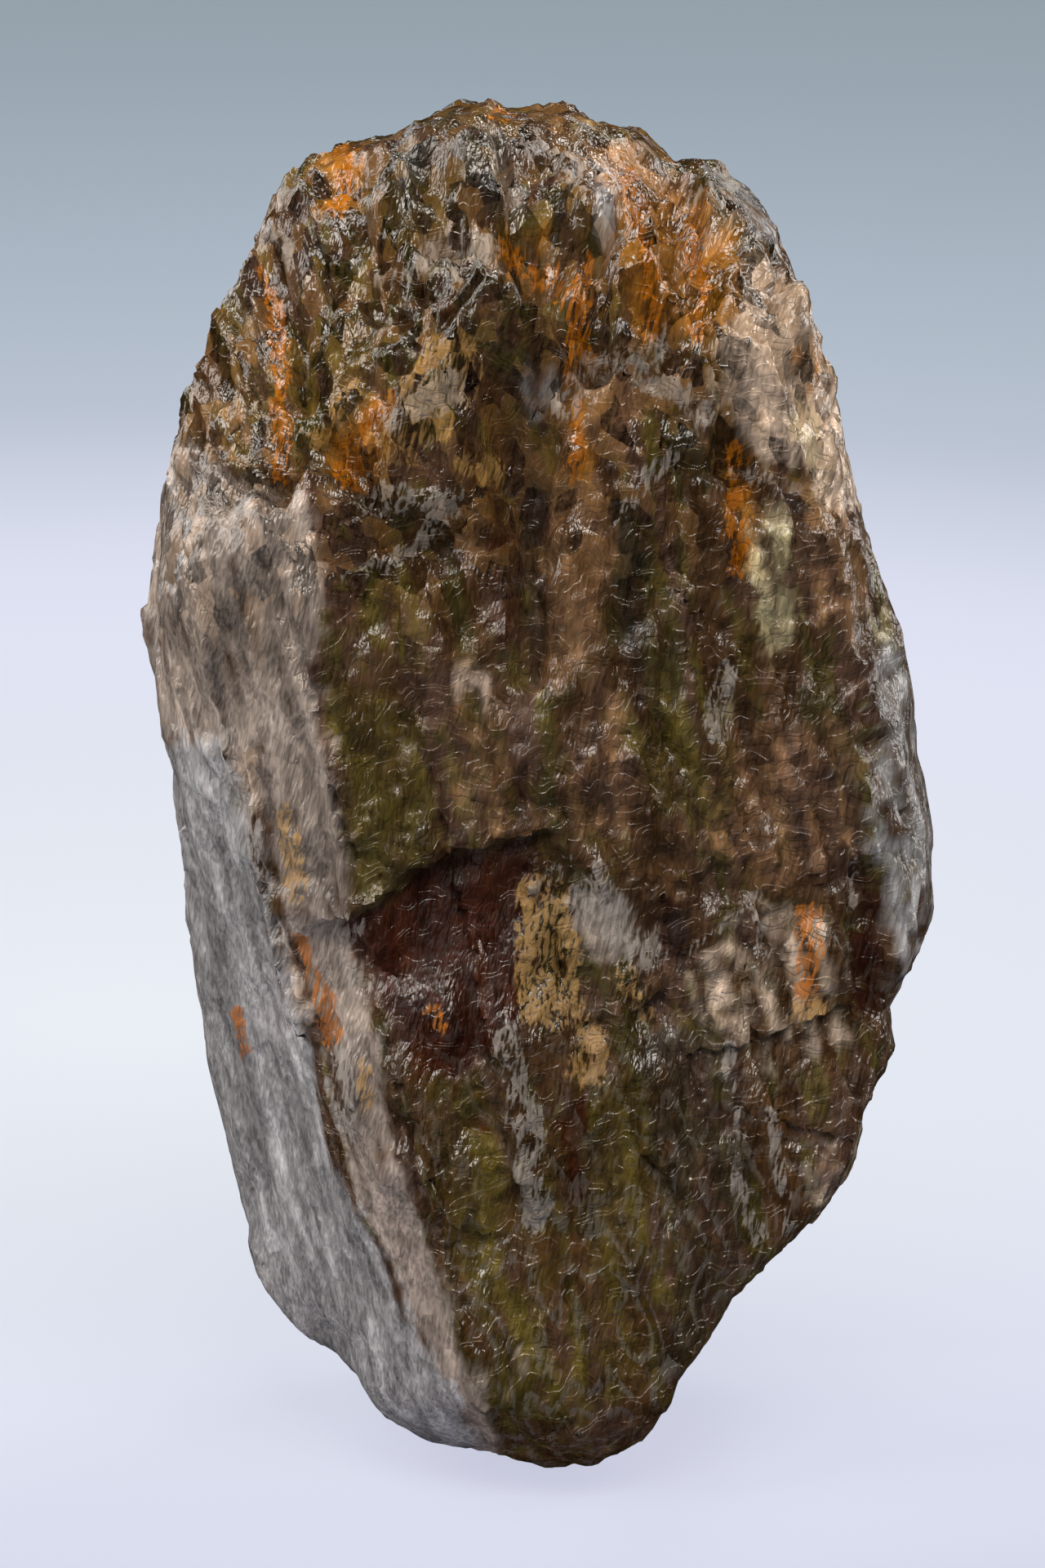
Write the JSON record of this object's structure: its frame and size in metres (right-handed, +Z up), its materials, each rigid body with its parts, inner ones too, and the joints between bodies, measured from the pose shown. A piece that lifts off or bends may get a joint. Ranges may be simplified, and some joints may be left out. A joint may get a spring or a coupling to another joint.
{
  "type": "andalusite crystal specimen",
  "caption": "Rough, translucent brown-green andalusite crystal, a near-square prism with a stepped, etched top, that stands upright on its broken foot.",
  "frame": {"origin": "centre of the crystal's bounding box in X and Y, level with the flat of its foot", "axes": "+Z up along the crystal's length, +X to the right of someone who faces the front, -Y towards them"},
  "size_m": [0.0266, 0.0214, 0.0457],
  "materials": {
    "crystal": "glassy to satin, translucent dark brown-olive with rusty and pale crusts"
  },
  "bodies": {
    "root": {"andalusite_crystal": "crystal"}
  },
  "joints": []
}
